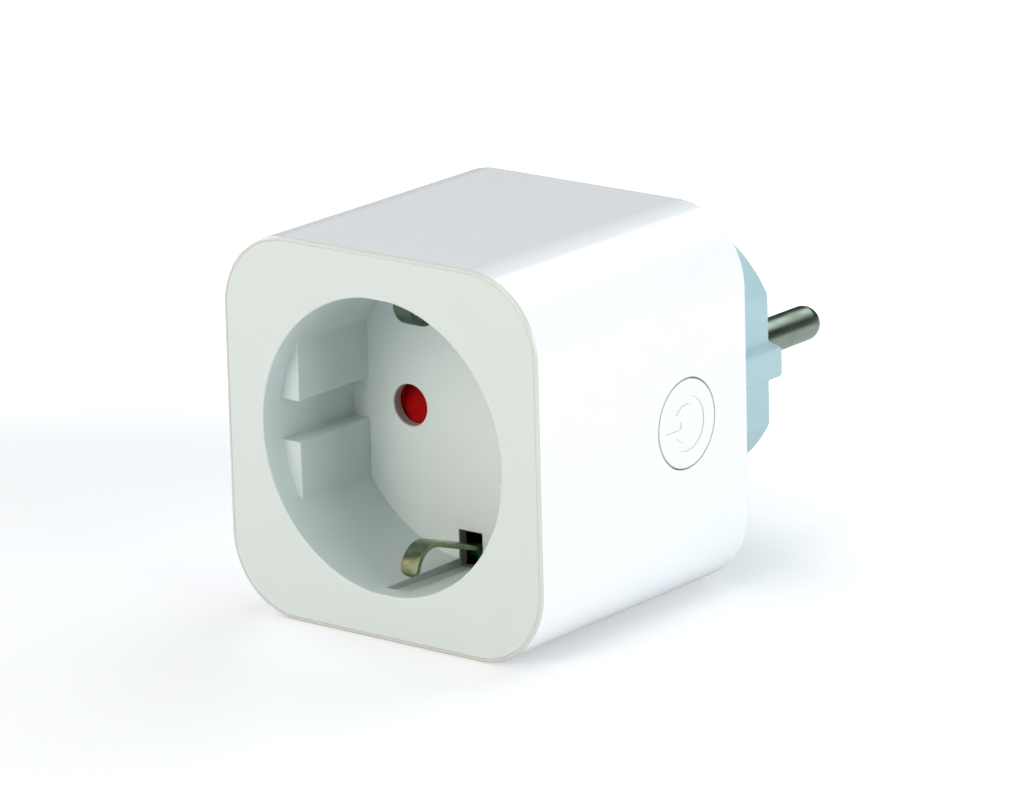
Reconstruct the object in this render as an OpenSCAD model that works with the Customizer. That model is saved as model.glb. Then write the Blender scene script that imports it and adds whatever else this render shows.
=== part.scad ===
// Smart plug: a square body with a socket well in front, a round plug behind and a button on one side.
// Millimetres. X runs to the right, Y from the socket to the plug pins, Z up. The base of the body is at Z = 0.

/* [Body] */
// Width and height of the square body
body_w = 51; // [51:0.5:54]
// Depth of the square body
body_d = 43.5; // [43.5:0.5:48]
// Radius of the four long corners
corner_r = 10.5; // [9.5:0.5:11.5]
// Wall of the outer sleeve
sleeve_t = 1.8; // [1.6:0.1:2]
// Thickness of the sleeve's lip round the front and rear plates
lip_t = 0.5; // [0.4:0.1:0.7]
// Bevel along the front and rear edges
edge_c = 0.35; // [0.2:0.05:0.4]
// Thickness of the front and rear plates
plate_t = 1.6; // [1.4:0.1:1.8]
// Gap left round a plate that sits in the sleeve
seam = 0.05; // [0.03:0.01:0.1]

/* [Socket] */
// Radius of the round well
well_r = 19.5; // [19.5:0.05:19.7]
// Depth of the well
well_d = 17.5; // [17:0.1:17.8]
// Wall of the well
well_t = 1.2; // [1:0.1:1.3]
// Floor of the well
floor_t = 1.5; // [1.3:0.1:1.6]
// Distance from the middle to the flat face of a side rib
rib_x = 16.35; // [16:0.05:16.4]
// Depth at which the side ribs begin
rib_y = 3.5; // [3:0.1:5]
// Half width of the notch between two ribs
notch_z = 2.7; // [2.4:0.1:3]
// Distance from the middle to the bottom of the notch
notch_x = 19; // [18.5:0.1:19.2]
// Distance from the middle to each pin
pin_x = 9.5; // [9.4:0.05:9.6]
// Radius of a pin hole
hole_r = 2.8; // [2.7:0.05:3]

/* [Earth clips] */
// Width of a clip
clip_w = 2.8; // [2.4:0.1:3.2]
// Thickness of the clip's sheet
clip_t = 0.7; // [0.4:0.05:0.8]
// Slope of the straight stretch of a clip
clip_slope = 18; // [16:0.5:19]
// Radius of the bend at the clip's free end
bend_r = 3.6; // [3.2:0.1:4]
// Angle that the bend turns through
bend_turn = 112; // [84:2:114]
// Width of the slot that a clip stands in
slot_w = 3.9; // [3.8:0.1:4.4]
// Distance from the middle to the outer wall of the slot
slot_z = 20.5; // [20.4:0.1:20.8]

/* [Plug] */
// Length of the plug body behind the square body
plug_d = 17.5; // [16.5:0.5:18.5]
// Radius of the plug body
plug_r = 18.5; // [18.2:0.1:18.7]
// Distance from the middle to a side flat of the plug body
flat_x = 16.25; // [16:0.05:16.4]
// Half width of the guide ridge at its foot
ridge_z = 2.8; // [2.6:0.1:3]
// Half width of the guide ridge at its outer edge
ridge_top_z = 1.7; // [1.4:0.1:2]
// Radius of a plug pin
pin_r = 2.4; // [2.35:0.05:2.4]
// Length of a plug pin outside the body
pin_len = 19; // [18.5:0.5:19.5]

/* [Button] */
// Radius of the button
button_r = 5.9; // [5.5:0.1:6.5]
// Gap round the button
button_gap = 0.15; // [0.1:0.05:0.25]
// Distance from the front face to the middle of the button
button_y = 30.5; // [29:0.5:32]
// Travel of the button
button_travel = 0.4; // [0.3:0.05:0.5]

/* [Hidden] */
$fn = 64;
total_len = body_d + plug_d + pin_len;
half_w = body_w / 2;
inner_w = body_w - 2 * sleeve_t;
inner_x = inner_w / 2;
plate_w = body_w - 2 * lip_t - 2 * seam;
plate_r = corner_r - lip_t - seam;
floor_back = well_d + floor_t;
channel_y = 2.6;
slot_in_z = 15.4;
rear_y = body_d - plate_t;
face_y = body_d + plug_d;

// Posts and case screws stand in the four corners, beside the well
post_x = 17.3;
post_r = 2.9;
post_y = 30;
screw_r = 1.2;
screw_head_r = 1.9;
screw_head_h = 1.6;
screw_seat_y = 36;
screw_tip_y = 20;

// The shutter slides down by shutter_drop in a pocket between the well's floor and the carrier
shutter_drop = 6.4;
shutter_x = 12.9;
shutter_z = [-4.2, 9.8];
shutter_y = [floor_back + 0.3, floor_back + 2.9];
pocket_back = floor_back + 3.2;
guide_back = pocket_back + 1.2;
stop_z = [-2.6, -1.6];
window_z = [-3, 8.6];
spring_r = 1.1;
spring_wire = 0.25;
spring_turns = 6;

// Screws that hold the guide and the carrier on the back of the well
ear = [7, 13.4];
ear_r = 3.2;
boss_r = 2;

// The two lines of contacts
contact_y = [guide_back + 0.4, well_d + pin_len + 0.1];
contact_t = 0.6;
carrier_back = contact_y[1] + 0.4;
flange_r = 4.6;
bar_t = 0.8;
bar_z = 3.7;
tail_r = 1.6;
tail_y = [body_d + 8.5, body_d + 14];
pin_flange_y = face_y - 3.5;
shoulder_r = pin_r + 0.2;
// Height of the earth pin's hole above the line of the pins
earth_pin = 10;

// Outline of an earth clip in Y and distance from the middle, both for the face turned to the middle
bend_c = [8.4, 17.95];
bend_steps = 10;
clip_root_y = 20.6;
clip_pivot = [20.3, 18.35];
strap_z = 18.2;
strap_t = 0.6;
strap_y = [21.2, carrier_back + 0.9];

// Printed boards
board_t = 1.2;
board_y = [24.2, rear_y - 0.5];
side_board_x = 14.6;
side_board_z = 13.6;
flat_board_z = 19.3;
flat_board_x = 14;
// Length of the rails that hold the rear edges of the boards, and where the parts on the boards may stand
rail_d = 1.3;
parts_y = guide_back + 3.2;

// ---- Helpers. Parts are drawn from the middle of the front face, then put in place. ----

module place()
    translate([0, -total_len / 2, half_w]) children();

// A flat shape in X and Z, carried along Y
module slab(y0, y1)
    translate([0, y1, 0]) rotate([90, 0, 0]) linear_extrude(y1 - y0) children();

// A flat shape in Y and Z, carried along X and centred on X = 0
module bar(width)
    translate([-width / 2, 0, 0]) rotate([90, 0, 90]) linear_extrude(width) children();

// A round rod along Y
module rod(y0, y1, r)
    translate([0, y1, 0]) rotate([90, 0, 0]) cylinder(h = y1 - y0, r = r);

// A box between two values on each axis
module box(x, y, z)
    translate([x[0], y[0], z[0]]) cube([x[1] - x[0], y[1] - y[0], z[1] - z[0]]);

module round_square(w, r) {
    square([w, w - 2 * r], center = true);
    square([w - 2 * r, w], center = true);
    for (sx = [-1, 1], sz = [-1, 1])
        translate([sx * (w / 2 - r), sz * (w / 2 - r)]) circle(r);
}

// A rounded square block along Y with bevelled front and rear edges
module bevelled_block(w, r, d, c) {
    h = w / 2;
    flat = w - 2 * r;
    outline = [
        [-h, c], [c - h, 0], [h - c, 0], [h, c],
        [h, d - c], [h - c, d], [c - h, d], [-h, d - c]
    ];
    translate([0, 0, -flat / 2]) linear_extrude(flat) polygon(outline);
    rotate([0, 90, 0]) translate([0, 0, -flat / 2]) linear_extrude(flat) polygon(outline);
    for (sx = [-1, 1], sz = [-1, 1])
        translate([sx * flat / 2, 0, sz * flat / 2]) rotate([-90, 0, 0]) rotate_extrude()
            polygon([[0, 0], [r - c, 0], [r, c], [r, d - c], [r - c, d], [0, d]]);
}

module at_corners()
    for (sx = [-1, 1], sz = [-1, 1]) translate([sx * post_x, 0, sz * post_x]) children();

module at_ears()
    for (s = [-1, 1]) translate([s * ear[0], 0, s * ear[1]]) children();

module at_pins()
    for (s = [-1, 1]) translate([s * pin_x, 0, 0]) children();

// Turns a part drawn for the top of the object to the bottom
module upside_down() rotate([0, 180, 0]) children();

// ---- Casing ----

// The side ribs of the well, as solids to be left standing
module well_ribs()
    for (s = [-1, 1])
        difference() {
            box([min(s * rib_x, s * (well_r + 1)), max(s * rib_x, s * (well_r + 1))],
                [rib_y, floor_back], [-12, 12]);
            box([min(s * (rib_x - 1), s * notch_x), max(s * (rib_x - 1), s * notch_x)],
                [rib_y - 1, floor_back + 1], [-notch_z, notch_z]);
        }

// The channel that gives a clip room: a short ramp into the wall of the well, then a slot through the floor
module clip_channel()
    bar(slot_w) polygon([
        [channel_y, slot_in_z], [channel_y, well_r - 0.1], [channel_y + 1, well_r + 0.6],
        [well_d, slot_z], [floor_back + 1, slot_z], [floor_back + 1, slot_in_z]
    ]);

module front_cover() place() color("whitesmoke")
    difference() {
        union() {
            slab(0, plate_t) round_square(plate_w, plate_r);
            rod(0, floor_back, well_r + well_t);
            for (s = [0, 1]) rotate([0, 180 * s, 0])
                box([-3.2, 3.2], [0, floor_back], [well_r - 1, slot_z + 1.2]);
            at_corners() rod(plate_t / 2, post_y, post_r);
            at_ears() rod(well_d + 1, guide_back - 0.1, boss_r);
        }
        difference() {
            rod(-1, well_d, well_r);
            well_ribs();
        }
        at_pins() rod(well_d - 1, floor_back + 1, hole_r);
        clip_channel();
        upside_down() clip_channel();
        at_corners() rod(screw_tip_y - 1, post_y + 1, screw_r);
        at_ears() rod(well_d + 0.8, guide_back + 1, 0.8);
    }

module outer_sleeve() place() color("white")
    difference() {
        bevelled_block(body_w, corner_r, body_d, edge_c);
        slab(-1, body_d + 1) round_square(inner_w, corner_r - sleeve_t);
        slab(-1, plate_t) round_square(body_w - 2 * lip_t, corner_r - lip_t);
        slab(rear_y, body_d + 1) round_square(body_w - 2 * lip_t, corner_r - lip_t);
        translate([0, button_y, 0]) rotate([0, 90, 0]) cylinder(h = body_w, r = button_r + button_gap);
    }

// Outline of the plug body in X and Z
module plug_outline(r, x) {
    intersection() {
        circle(r);
        square([2 * x, 2 * r + 2], center = true);
    }
}

module ridge_outline()
    intersection() {
        circle(plug_r);
        polygon([
            [-plug_r - 1, -ridge_top_z], [1 - flat_x, -ridge_z], [flat_x - 1, -ridge_z],
            [plug_r + 1, -ridge_top_z], [plug_r + 1, ridge_top_z], [flat_x - 1, ridge_z],
            [1 - flat_x, ridge_z], [-plug_r - 1, ridge_top_z]
        ]);
    }

module board_rails() {
    for (sx = [-1, 1], sz = [-1, 1], x = [side_board_x - 0.8, side_board_x + board_t + 0.1])
        translate([sx * (x + 0.35) - 0.35, rear_y - rail_d, sz * 11.5 - 1.5]) cube([0.7, rail_d + 0.1, 3]);
    for (sx = [-1, 1], sz = [-1, 1], z = [flat_board_z - 0.8, flat_board_z + board_t + 0.1])
        translate([sx * 10 - 1.5, rear_y - rail_d, sz * (z + 0.35) - 0.35]) cube([3, rail_d + 0.1, 0.7]);
}

module plug_base() place() color("gainsboro")
    difference() {
        union() {
            slab(rear_y, body_d) round_square(plate_w, plate_r);
            slab(rear_y, face_y) plug_outline(plug_r, flat_x);
            slab(rear_y, face_y) ridge_outline();
            at_corners() rod(post_y, rear_y + 0.1, post_r);
            board_rails();
        }
        slab(rear_y - 1, face_y - 2) plug_outline(15.6, 14.4);
        for (s = [0, 1]) rotate([0, 180 * s, 0]) {
            box([-3.1, 3.1], [body_d, face_y - 1.5], [17.3, plug_r + 1]);
            box([-3.1, 3.1], [rear_y - 1, body_d + 0.1], [17.3, 18.1]);
            box([-3.1, 3.1], [face_y - 3.3, face_y - 2.4], [16.3, 17.4]);
        }
        at_pins() rod(face_y - 3, face_y + 1, shoulder_r);
        translate([0, 0, earth_pin]) rod(face_y - 3, face_y + 1, 2.6);
        at_corners() {
            rod(post_y - 1, body_d + 1, screw_r + 0.1);
            rod(screw_seat_y, body_d + 1, screw_head_r + 0.1);
        }
    }

module case_screws() place() color("silver")
    at_corners() difference() {
        union() {
            rod(screw_tip_y, screw_seat_y + 0.5, screw_r);
            rod(screw_seat_y, screw_seat_y + screw_head_h, screw_head_r);
        }
        for (turn = [0, 90]) rotate([0, turn, 0])
            box([-1.2, 1.2], [screw_seat_y + screw_head_h - 0.8, screw_seat_y + screw_head_h + 1], [-0.2, 0.2]);
    }

// ---- Button and switch, drawn along X ----

module along_x(x0, x1, r)
    translate([x0, button_y, 0]) rotate([0, 90, 0]) cylinder(h = x1 - x0, r = r);

switch_x = [side_board_x + board_t, side_board_x + board_t + 3.6];
plunger_r = 1.7;
plunger_x = switch_x[1] + 1.6;

module power_button() place() color("ivory")
    union() {
        along_x(inner_x - 0.2, half_w, button_r);
        along_x(inner_x - 1, inner_x - 0.2, button_r + 1.1);
        along_x(plunger_x, inner_x - 0.9, 2.2);
    }

module switch_plunger() place() color("dimgray")
    along_x(switch_x[1] - 0.7, plunger_x, plunger_r);

module tact_switch() place() color("silver")
    difference() {
        box(switch_x, [button_y - 3, button_y + 3], [-3, 3]);
        along_x(switch_x[1] - 1.3, switch_x[1] + 1, plunger_r + 0.1);
    }

module status_led() place() color("lightblue")
    union() {
        box([switch_x[0], switch_x[0] + 0.6], [button_y - 0.8, button_y + 0.8], [-7.2, -4.4]);
        box([switch_x[0] + 0.6, switch_x[0] + 1], [button_y - 0.6, button_y + 0.6], [-6.8, -4.8]);
    }

// ---- Socket ----

module shutter_guide() place() color("ghostwhite")
    union() {
        difference() {
            union() {
                box([-15.5, 15.5], [floor_back, guide_back], [-12.2, 12.2]);
                at_ears() rod(floor_back, guide_back, ear_r);
            }
            box([-shutter_x - 0.3, shutter_x + 0.3], [floor_back - 1, pocket_back],
                [shutter_z[0] - shutter_drop - 0.3, shutter_z[1] + 0.3]);
            at_pins() rod(floor_back, guide_back + 1, hole_r + 0.2);
            at_ears() rod(floor_back - 1, guide_back + 1, boss_r + 0.2);
        }
        box([-1.4, 1.4], [floor_back + 0.4, pocket_back + 0.1], stop_z);
    }

// The face behind each pin hole slopes back towards the shutter's own hole, so that a pin pushes it down
module shutter() place() color("red")
    difference() {
        box([-shutter_x, shutter_x], shutter_y, shutter_z);
        box([-1.9, 1.9], [shutter_y[0] - 1, shutter_y[1] + 1], window_z);
        at_pins() {
            translate([0, 0, shutter_drop]) rod(shutter_y[0] - 1, shutter_y[1] + 1, hole_r + 0.1);
            bar(2 * hole_r) polygon([
                [shutter_y[0] - 0.1, -hole_r], [shutter_y[0], -hole_r],
                [shutter_y[1] - 0.6, shutter_drop - hole_r], [shutter_y[1] - 0.6, shutter_drop],
                [shutter_y[0] - 0.1, shutter_drop]
            ]);
        }
    }

// A stack of rings stands for the turns of the compression spring
module shutter_spring() place() color("silver")
    for (i = [0 : spring_turns])
        translate([0, (shutter_y[0] + shutter_y[1]) / 2,
                   stop_z[1] + spring_wire + i * (window_z[1] - stop_z[1] - 2 * spring_wire) / spring_turns])
            rotate_extrude() translate([spring_r, 0]) circle(spring_wire, $fn = 16);

module contact_carrier() place() color("lightgray")
    difference() {
        union() {
            box([-14, 14], [guide_back, carrier_back], [-7, 7]);
            box([-3.4, 3.4], [guide_back + 0.6, carrier_back - 1], [-strap_z, strap_z]);
            for (s = [0, 1]) rotate([0, 180 * s, 0])
                box([ear[0] - ear_r, ear[0] + ear_r], [guide_back, guide_back + 1.6], [0, ear[1]]);
            at_ears() rod(guide_back, guide_back + 1.6, ear_r);
        }
        at_pins() {
            rod(guide_back - 1, carrier_back + 1, pin_r + contact_t + 0.1);
            rod(contact_y[1] - contact_t - 0.1, carrier_back + 1, flange_r + 0.1);
        }
        at_ears() rod(guide_back - 1, guide_back + 3, 1);
    }

module carrier_screws() place() color("silver")
    at_ears() difference() {
        union() {
            rod(well_d + 1, guide_back + 1.7, 0.8);
            rod(guide_back + 1.6, guide_back + 2.8, 1.7);
        }
        for (turn = [0, 90]) rotate([0, turn, 0])
            box([-1.1, 1.1], [guide_back + 2.2, guide_back + 4], [-0.2, 0.2]);
    }

// A sprung sleeve, slit along most of its length, with a flange for its busbar
module socket_contact(s) place() color("goldenrod")
    translate([s * pin_x, 0, 0]) difference() {
        union() {
            rod(contact_y[0], contact_y[1], pin_r + contact_t);
            rod(contact_y[1] - contact_t, contact_y[1], flange_r);
        }
        rod(contact_y[0] - 1, contact_y[1] + 1, pin_r);
        box([-0.3, 0.3], [contact_y[0] - 1, contact_y[1] - 4], [-5, 5]);
    }

module socket_contact_left() socket_contact(-1);
module socket_contact_right() socket_contact(1);

// One face of the clip: a straight stretch, then a bend that ends nearly square to the wall of the well
function clip_face(r) = concat(
    [clip_foot(r)],
    [for (k = [0 : bend_steps]) bend_c + r * turned(clip_slope - 90 - bend_turn * k / bend_steps)]
);
function turned(a) = [cos(a), sin(a)];
// The straight stretch runs back from the start of the bend to the root
function clip_foot(r) =
    let (start = bend_c + r * [sin(clip_slope), -cos(clip_slope)])
    [clip_root_y, start[1] + (clip_root_y - start[0]) * tan(clip_slope)];
function reversed(list) = [for (i = [len(list) - 1 : -1 : 0]) list[i]];

module earth_clip() place() color("khaki")
    bar(clip_w) polygon(concat(clip_face(bend_r), reversed(clip_face(bend_r - clip_t))));

module earth_clip_top() earth_clip();
module earth_clip_bottom() translate([0, 0, body_w]) mirror([0, 0, 1]) earth_clip();

// A bracket that passes behind the contacts and joins both clips to the earth strips of the plug
module earth_strap() place() color("khaki")
    union() {
        for (s = [0, 1]) rotate([0, 180 * s, 0])
            box([-slot_w / 2, slot_w / 2], strap_y, [strap_z, strap_z + strap_t]);
        box([-slot_w / 2, slot_w / 2], [strap_y[1] - strap_t, strap_y[1]], [-strap_z, strap_z]);
    }

// ---- Plug ----

module plug_pin(s) place() color("silver")
    translate([s * pin_x, 0, 0]) union() {
        rod(tail_y[0], pin_flange_y + 0.1, tail_r);
        rod(pin_flange_y, face_y - 2, pin_r + 1);
        rod(face_y - 2.1, face_y, shoulder_r);
        rod(face_y - 0.1, total_len - pin_r, pin_r);
        translate([0, total_len - pin_r, 0]) sphere(pin_r);
    }

module plug_pin_left() plug_pin(-1);
module plug_pin_right() plug_pin(1);

module pin_retainer() place() color("lightgray")
    difference() {
        slab(pin_flange_y - 1.6, pin_flange_y) plug_outline(15.5, 14.3);
        at_pins() rod(pin_flange_y - 3, pin_flange_y + 1, tail_r + 0.1);
        translate([0, 0, earth_pin]) rod(pin_flange_y - 3, pin_flange_y + 1, 3.2);
    }

module earth_pin_socket() place() color("khaki")
    translate([0, 0, earth_pin]) difference() {
        rod(body_d + 2, face_y - 2, 3.1);
        rod(body_d + 1, face_y - 1, pin_r + 0.05);
        box([-0.3, 0.3], [face_y - 11, face_y - 1], [-4, 4]);
    }

module plug_earth_strip() place() color("khaki")
    union() {
        box([-3, 3], [strap_y[1], face_y - 2.5], [17.3, 18]);
        box([-3, 3], [face_y - 3.2, face_y - 2.5], [16.4, 17.4]);
    }

module plug_earth_strip_top() plug_earth_strip();
module plug_earth_strip_bottom() translate([0, 0, body_w]) mirror([0, 0, 1]) plug_earth_strip();

// A strip along Y beside a row of contacts, with an eye for the tail of a plug pin. s is the side, f the face.
module busbar(s, f, y0) {
    x = [s * pin_x - 1.5, s * pin_x + 1.5];
    eye_y = tail_y[0] + 1;
    difference() {
        union() {
            box(x, [y0, eye_y + bar_t], f > 0 ? [bar_z, bar_z + bar_t] : [-bar_z - bar_t, -bar_z]);
            box([x[0] - 0.7, x[1] + 0.7], [eye_y, eye_y + bar_t],
                f > 0 ? [-2.5, bar_z + bar_t] : [-bar_z - bar_t, 2.5]);
        }
        translate([s * pin_x, 0, 0]) rod(eye_y - 1, eye_y + 2, tail_r + 0.02);
    }
}

module busbar_neutral() place() color("goldenrod") busbar(1, -1, contact_y[1]);

module busbar_live_in() place() color("goldenrod")
    union() {
        busbar(-1, 1, carrier_back + 2.2);
        box([-side_board_x, -pin_x], [carrier_back + 2.2, carrier_back + 3], [bar_z, bar_z + 3]);
    }

module busbar_live_out() place() color("goldenrod")
    union() {
        box([-pin_x - 1.5, -pin_x + 1.5], [contact_y[1], carrier_back + 0.8], [-bar_z - bar_t, -bar_z]);
        box([-side_board_x, -pin_x + 1.5], [carrier_back, carrier_back + 0.8], [-bar_z - 2.3, -bar_z]);
    }

// ---- Boards and what stands on them ----

module side_board(s)
    translate([s * (side_board_x + board_t / 2), 0, 0])
        box([-board_t / 2, board_t / 2], board_y, [-side_board_z, side_board_z]);

// Two rows of pins that turn from a flat board into a side board
module header(s, y0, count) {
    x = s * (flat_board_x - 1);
    box([x - 0.8, x + 0.8], [y0 - 0.6, y0 + count - 0.4], [1.6 - flat_board_z, 3.2 - flat_board_z]);
    for (i = [0 : count - 1]) translate([0, y0 + i, 0]) {
        box([x - 0.25, x + 0.25], [-0.25, 0.25], [-flat_board_z, 1.6 - flat_board_z]);
        box([x - 0.25, x + 0.25], [-0.25, 0.25], [3.2 - flat_board_z, -12.3]);
        box([min(x, s * side_board_x), max(x, s * side_board_x)], [-0.25, 0.25], [-12.3, -11.8]);
    }
}

module control_board() place() color("seagreen") side_board(1);
module power_board() place() color("seagreen") side_board(-1);
module control_header() place() color("gold") header(1, 36.4, 4);
module relay_header() place() color("gold") header(-1, 36.4, 4);

wifi_y = [25.2, 39.6];
wifi_z = [5.2, 13];
module wifi_board() place() color("darkblue")
    box([switch_x[0], switch_x[0] + 0.8], wifi_y, wifi_z);

module wifi_shield() place() color("silver")
    difference() {
        box([switch_x[0] + 0.8, switch_x[0] + 2.8], [wifi_y[0] + 0.6, wifi_y[1] - 5], [wifi_z[0] + 0.5, wifi_z[1] - 0.5]);
        box([switch_x[0] + 0.7, switch_x[0] + 2.6], [wifi_y[0] + 0.8, wifi_y[1] - 5.2], [wifi_z[0] + 0.7, wifi_z[1] - 0.7]);
    }

// A track that winds back and forth over the free end of the board
module antenna() place() color("orange")
    union() {
        for (i = [0 : 4])
            box([switch_x[0] + 0.8, switch_x[0] + 0.9], [wifi_y[1] - 4.6 + i, wifi_y[1] - 4.2 + i],
                [wifi_z[0] + 0.8, wifi_z[1] - 0.8]);
        for (i = [0 : 3]) {
            z = i % 2 == 0 ? wifi_z[1] - 1.2 : wifi_z[0] + 0.8;
            box([switch_x[0] + 0.8, switch_x[0] + 0.9], [wifi_y[1] - 4.3 + i, wifi_y[1] - 3.5 + i], [z, z + 0.4]);
        }
    }

// The relay lies against the power board, with its coil upright
relay_y = [24.8, 39.8];
relay_z = [-10, 10];
relay_x = [-inner_x + 0.4, -side_board_x - board_t];
relay_base_t = 1.2;
relay_wall = 0.6;
coil_x = relay_x[0] + 3.4;
coil_y = relay_y[0] + 4.2;
coil_z = [-7.6, 2.4];
yoke_x = [coil_x - 2.2, coil_x + 2.2];
yoke_y = coil_y + 3.4;
yoke_t = 0.8;
gap_z = coil_z[1] + 1.4;

module upright(z0, z1, r)
    translate([coil_x, coil_y, z0]) cylinder(h = z1 - z0, r = r);

module relay_base() place() color("dimgray")
    box([relay_x[1] - relay_base_t, relay_x[1]], relay_y, relay_z);

module relay_case() place() color("royalblue")
    difference() {
        box([relay_x[0], relay_x[1] - relay_base_t], relay_y, relay_z);
        box([relay_x[0] + relay_wall, relay_x[1]], [relay_y[0] + relay_wall, relay_y[1] - relay_wall],
            [relay_z[0] + relay_wall, relay_z[1] - relay_wall]);
    }

module relay_bobbin() place() color("white")
    difference() {
        union() {
            upright(coil_z[0], coil_z[1], 1.3);
            upright(coil_z[0] - 0.6, coil_z[0], 2.6);
            upright(coil_z[1], coil_z[1] + 0.6, 2.6);
        }
        upright(coil_z[0] - 1, coil_z[1] + 1, 0.9);
    }

module relay_coil() place() color("chocolate")
    difference() {
        upright(coil_z[0], coil_z[1], 2.3);
        upright(coil_z[0] - 1, coil_z[1] + 1, 1.3);
    }

module relay_core() place() color("silver")
    union() {
        upright(coil_z[0] - 0.6, coil_z[1] + 0.6, 0.9);
        upright(coil_z[1] + 0.6, gap_z - 0.5, 1.6);
    }

module relay_yoke() place() color("silver")
    union() {
        box(yoke_x, [yoke_y, yoke_y + yoke_t], [coil_z[0] - 1.4, gap_z - 0.4]);
        box(yoke_x, [coil_y - 2, yoke_y + 0.1], [coil_z[0] - 1.4, coil_z[0] - 0.6]);
    }

module relay_armature() place() color("silver")
    box(yoke_x, [coil_y - 2, yoke_y + 1], [gap_z, gap_z + 0.7]);

module relay_moving_contact() place() color("goldenrod")
    union() {
        box([coil_x - 1.2, coil_x + 1.2], [yoke_y + 1, yoke_y + 1.3], [gap_z, gap_z + 5]);
        translate([coil_x, 0, gap_z + 4]) rod(yoke_y + 0.5, yoke_y + 1, 0.7);
    }

module relay_fixed_contact() place() color("goldenrod")
    union() {
        box([coil_x - 1.2, relay_x[1] - relay_base_t], [yoke_y - 0.8, yoke_y - 0.4], [gap_z + 3.1, gap_z + 5]);
        translate([coil_x, 0, gap_z + 4]) rod(yoke_y - 0.4, yoke_y + 0.1, 0.7);
    }

module metering_chip() place() color("darkslategray")
    box([relay_x[1] - 1.6, relay_x[1]], [26, 30], [-13, -10.4]);

// A strap that stands a little off the board on its two feet
module shunt_resistor() place() color("sandybrown")
    union() {
        for (y = [31.5, 37.5])
            box([relay_x[1] - 1.2, relay_x[1]], [y, y + 0.6], [-13, -11]);
        box([relay_x[1] - 1.8, relay_x[1] - 1.2], [31.5, 38.1], [-13, -11]);
    }

module flat_board(z0)
    box([-flat_board_x, flat_board_x], [floor_back + 2.2, board_y[1]], [z0, z0 + board_t]);

module supply_board() place() color("seagreen") flat_board(-flat_board_z - board_t);
module filter_board() place() color("seagreen") flat_board(flat_board_z);

// Two E cores round a wound middle
module transformer() place() color("darkgoldenrod")
    union() {
        for (y = [parts_y, parts_y + 7.5]) box([4, 11.6], [y, y + 2], [-flat_board_z, -10.4]);
        box([4.3, 11.3], [parts_y + 2, parts_y + 7.5], [0.3 - flat_board_z, -10.7]);
    }

module bulk_capacitor() place() color("midnightblue")
    translate([-8.2, parts_y, 4.2 - flat_board_z]) difference() {
        union() {
            rod(0, 10, 4.1);
            rod(10, 10.4, 3.8);
        }
        can_groove(8.2);
    }

// The crimped groove near the foot of a capacitor can
module can_groove(y)
    rotate([-90, 0, 0]) rotate_extrude() translate([4.5, y]) circle(0.6, $fn = 24);

module rectifier() place() color("darkslategray")
    box([-9, -4], [37.6, 40.2], [-flat_board_z, 2.2 - flat_board_z]);

module supply_chip() place() color("darkslategray")
    box([3, 8], [37.6, 40.2], [-flat_board_z, 1.6 - flat_board_z]);

module safety_capacitor() place() color("gold")
    box([4, 13], [parts_y, parts_y + 12], [10, flat_board_z]);

module varistor() place() color("steelblue")
    translate([-8.4, 0, flat_board_z - 4.6]) rod(parts_y, parts_y + 3.2, 4.5);

module fuse() place() color("lightgreen")
    union() {
        translate([-8.4, 0, flat_board_z - 1.9]) rod(36, 39.4, 1.8);
        for (y = [35.6, 39.4]) translate([-8.4, 0, flat_board_z - 1.9]) rod(y, y + 0.4, 0.5);
    }

// A toroid of ferrite with its winding
module choke() place() color("darkolivegreen")
    translate([-8.4, 33.8, flat_board_z - 4]) rotate([90, 0, 0])
        rotate_extrude() translate([2.6, 0]) circle(1.3, $fn = 24);

// Straight wires from the supply board up to the live and neutral bars
module link_wires() place() color("firebrick")
    for (wire = [[-10.8, bar_z], [pin_x, -bar_z - bar_t]])
        translate([wire[0], carrier_back + 2.6, -flat_board_z]) cylinder(h = wire[1] + flat_board_z, r = 0.5);

front_cover();
outer_sleeve();
plug_base();
case_screws();
power_button();
switch_plunger();
tact_switch();
status_led();
shutter_guide();
shutter();
shutter_spring();
contact_carrier();
carrier_screws();
socket_contact_left();
socket_contact_right();
earth_clip_top();
earth_clip_bottom();
earth_strap();
plug_pin_left();
plug_pin_right();
pin_retainer();
earth_pin_socket();
plug_earth_strip_top();
plug_earth_strip_bottom();
busbar_neutral();
busbar_live_in();
busbar_live_out();
control_board();
wifi_board();
wifi_shield();
antenna();
control_header();
power_board();
relay_base();
relay_case();
relay_bobbin();
relay_coil();
relay_core();
relay_yoke();
relay_armature();
relay_moving_contact();
relay_fixed_contact();
relay_header();
metering_chip();
shunt_resistor();
supply_board();
transformer();
bulk_capacitor();
rectifier();
supply_chip();
filter_board();
safety_capacitor();
varistor();
fuse();
choke();
link_wires();
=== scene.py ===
import math

import bmesh
import bpy
import numpy as np
from mathutils import Matrix, Vector
from mathutils.geometry import delaunay_2d_cdt


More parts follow.
